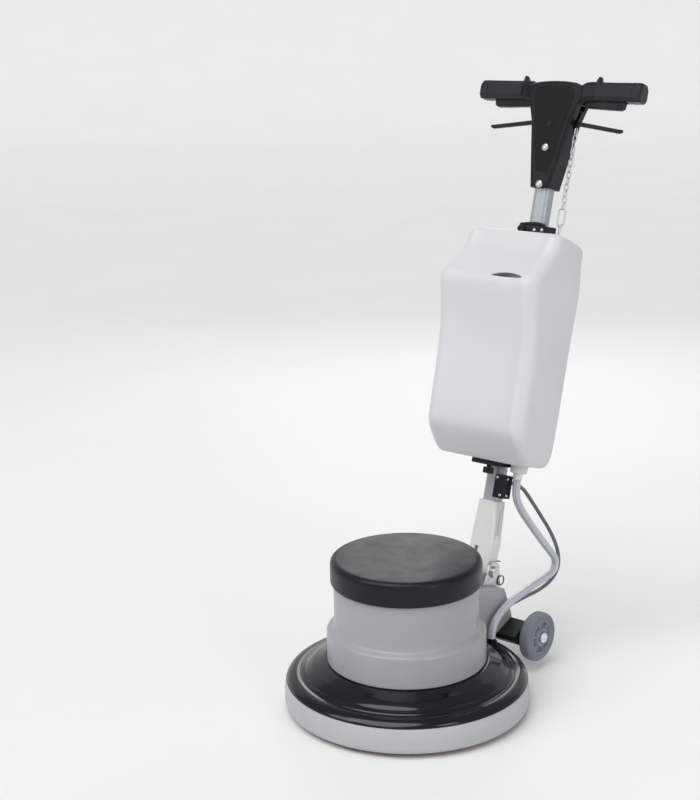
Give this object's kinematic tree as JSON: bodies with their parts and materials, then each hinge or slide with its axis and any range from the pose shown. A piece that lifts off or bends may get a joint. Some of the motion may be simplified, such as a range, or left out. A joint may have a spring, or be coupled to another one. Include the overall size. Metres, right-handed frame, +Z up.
{
  "type": "rotary floor machine",
  "caption": "Upright single-disc floor machine: drum motor over a round pad and bumper, tilting tube handle with solution tank, twin-grip control head and transport wheels.",
  "frame": {"origin": "on the floor at the middle of the round pad's underside, which is the disc axis", "axes": "+Z up and along the handle's height, +Y towards the operator and the transport wheels, +X to the operator's right when facing the machine from the front left"},
  "size_m": [0.48, 0.7908, 1.1886],
  "materials": {
    "bumper_grey": "satin light grey moulding",
    "deck_black": "glossy blue-black",
    "housing_paint": "satin grey paint",
    "cover_black": "satin charcoal",
    "bright_steel": "polished steel",
    "zinc_steel": "zinc plated",
    "tube_silver": "silver satin",
    "socket_white": "white paint on a casting",
    "bracket_black": "black powder coat",
    "gear_steel": "machined steel",
    "gear_nylon": "filled nylon",
    "cast_alloy": "as cast",
    "lamination": "stacked laminations",
    "winding_copper": "varnished wire",
    "moulded_black": "satin moulded",
    "capacitor_can": "drawn can",
    "tank_white": "translucent blow-moulded",
    "nut_white": "moulded",
    "tyre_grey": "matt rubber",
    "hub_grey": "moulded",
    "driver_board": "moulded",
    "pad_fibre": "non-woven fibre",
    "hose_clear": "flexible tube",
    "cable_grey": "flexible cable"
  },
  "bodies": {
    "chassis": {"bumper_ring": "bumper_grey", "deck_apron": "deck_black", "motor_housing": "housing_paint", "motor_top_cover": "cover_black", "end_bell": "zinc_steel", "stator_core": "lamination", "stator_winding": "winding_copper", "shaft_bearings": "zinc_steel", "gearbox_casing": "cast_alloy", "housing_bolts": "zinc_steel", "ring_gear": "gear_steel", "handle_yoke": "housing_paint", "hinge_bracket": "bright_steel", "hinge_pin": "bright_steel", "wheel_bracket": "bracket_black", "wheel_axle": "zinc_steel", "axle_caps": "zinc_steel", "cable_gland": "moulded_black", "hose_barb": "moulded_black", "water_hose": "hose_clear", "motor_cable": "cable_grey"},
    "rotor": {"rotor_shaft": "zinc_steel", "rotor_core": "lamination", "cooling_fan": "moulded_black"},
    "pad_drive": {"planet_carrier": "gear_steel", "drive_flange": "gear_steel", "pad_driver": "driver_board", "floor_pad": "pad_fibre"},
    "planet_1": {"planet_gear_1": "gear_nylon"},
    "planet_2": {"planet_gear_2": "gear_nylon"},
    "planet_3": {"planet_gear_3": "gear_nylon"},
    "wheel_right": {"wheel_tyre_right": "tyre_grey", "wheel_hub_right": "hub_grey"},
    "wheel_left": {"wheel_tyre_left": "tyre_grey", "wheel_hub_left": "hub_grey"},
    "handle": {"handle_tube": "tube_silver", "tube_socket": "socket_white", "socket_bolts": "zinc_steel", "head_bolts": "bright_steel", "head_front_shell": "moulded_black", "head_rear_shell": "moulded_black", "grip_right": "moulded_black", "grip_left": "moulded_black", "solution_tank": "tank_white", "outlet_nut": "nut_white", "lower_bracket": "bracket_black", "bracket_knob": "moulded_black", "upper_clip": "moulded_black", "capacitor_box": "moulded_black", "capacitor": "capacitor_can", "trigger_switches": "moulded_black", "cord_inlet": "moulded_black"},
    "trigger_right": {"trigger_right": "moulded_black"},
    "trigger_left": {"trigger_left": "moulded_black"},
    "thumb_right": {"thumb_button_right": "moulded_black"},
    "thumb_left": {"thumb_button_left": "moulded_black"},
    "release_lever": {"release_lever": "moulded_black"},
    "valve_lever": {"valve_lever": "moulded_black"},
    "lock_rod": {"lock_rod": "zinc_steel"},
    "valve_rod": {"valve_rod": "zinc_steel"}
  },
  "joints": [
    {"name": "handle_tilt", "type": "hinge", "parent": "chassis", "child": "handle", "pos_m": [0, 0.251, 0.205], "axis": [-1, 0, 0], "range_deg": [-16, 50], "deforming": ["water_hose", "motor_cable"]},
    {"name": "pad_spin", "type": "hinge", "parent": "chassis", "child": "pad_drive", "pos_m": [0, 0, 0.05], "axis": [0, 0, 1], "continuous": true},
    {"name": "motor_spin", "type": "hinge", "parent": "chassis", "child": "rotor", "pos_m": [0, 0, 0.16], "axis": [0, 0, 1], "continuous": true},
    {"name": "planet_1_spin", "type": "hinge", "parent": "pad_drive", "child": "planet_1", "pos_m": [0.03, 0, 0.076], "axis": [0, 0, 1], "continuous": true},
    {"name": "planet_2_spin", "type": "hinge", "parent": "pad_drive", "child": "planet_2", "pos_m": [-0.015, 0.02598, 0.076], "axis": [0, 0, 1], "continuous": true},
    {"name": "planet_3_spin", "type": "hinge", "parent": "pad_drive", "child": "planet_3", "pos_m": [-0.015, -0.02598, 0.076], "axis": [0, 0, 1], "continuous": true},
    {"name": "wheel_right_roll", "type": "hinge", "parent": "chassis", "child": "wheel_right", "pos_m": [0.112, 0.291, 0.072], "axis": [1, 0, 0], "continuous": true},
    {"name": "wheel_left_roll", "type": "hinge", "parent": "chassis", "child": "wheel_left", "pos_m": [-0.112, 0.291, 0.072], "axis": [1, 0, 0], "continuous": true},
    {"name": "trigger_right_pull", "type": "hinge", "parent": "handle", "child": "trigger_right", "pos_m": [0.054, 0.51975, 1.14223], "axis": [0, -0.9613, 0.2756], "range_deg": [0, 4.5], "stiffness_Nm_per_rad": 4, "springref_deg": -5.73},
    {"name": "thumb_right_press", "type": "slide", "parent": "handle", "child": "thumb_right", "axis": [0, -0.2756, -0.9613], "range_m": [0, 0.005], "stiffness_N_per_m": 300, "springref_m": -0.003},
    {"name": "trigger_left_pull", "type": "hinge", "parent": "handle", "child": "trigger_left", "pos_m": [-0.054, 0.51975, 1.14223], "axis": [0, 0.9613, -0.2756], "range_deg": [0, 4.5], "stiffness_Nm_per_rad": 4, "springref_deg": -5.73},
    {"name": "thumb_left_press", "type": "slide", "parent": "handle", "child": "thumb_left", "axis": [0, -0.2756, -0.9613], "range_m": [0, 0.005], "stiffness_N_per_m": 300, "springref_m": -0.003},
    {"name": "release_lever_pull", "type": "hinge", "parent": "handle", "child": "release_lever", "pos_m": [0.01, 0.50652, 1.09609], "axis": [0, 0.9613, -0.2756], "range_deg": [0, 12], "stiffness_Nm_per_rad": 2.5, "springref_deg": -8.59},
    {"name": "valve_lever_pull", "type": "hinge", "parent": "handle", "child": "valve_lever", "pos_m": [0.03, 0.50652, 1.09609], "axis": [0, -0.9613, 0.2756], "range_deg": [0, 12], "stiffness_Nm_per_rad": 2.5, "springref_deg": -8.59},
    {"name": "lock_rod_slide", "type": "slide", "parent": "handle", "child": "lock_rod", "axis": [0, 0.2756, 0.9613], "range_m": [0, 0.0045]},
    {"name": "valve_rod_slide", "type": "slide", "parent": "handle", "child": "valve_rod", "axis": [0, 0.2756, 0.9613], "range_m": [0, 0.0055]}
  ],
  "couplings": [
    {"joint": "motor_spin", "follows": "pad_spin", "ratio": 8},
    {"joint": "planet_1_spin", "follows": "pad_spin", "ratio": -2.3333},
    {"joint": "planet_2_spin", "follows": "pad_spin", "ratio": -2.3333},
    {"joint": "planet_3_spin", "follows": "pad_spin", "ratio": -2.3333},
    {"joint": "lock_rod_slide", "follows": "release_lever_pull", "m_per_rad": 0.02},
    {"joint": "valve_rod_slide", "follows": "valve_lever_pull", "m_per_rad": 0.024}
  ]
}
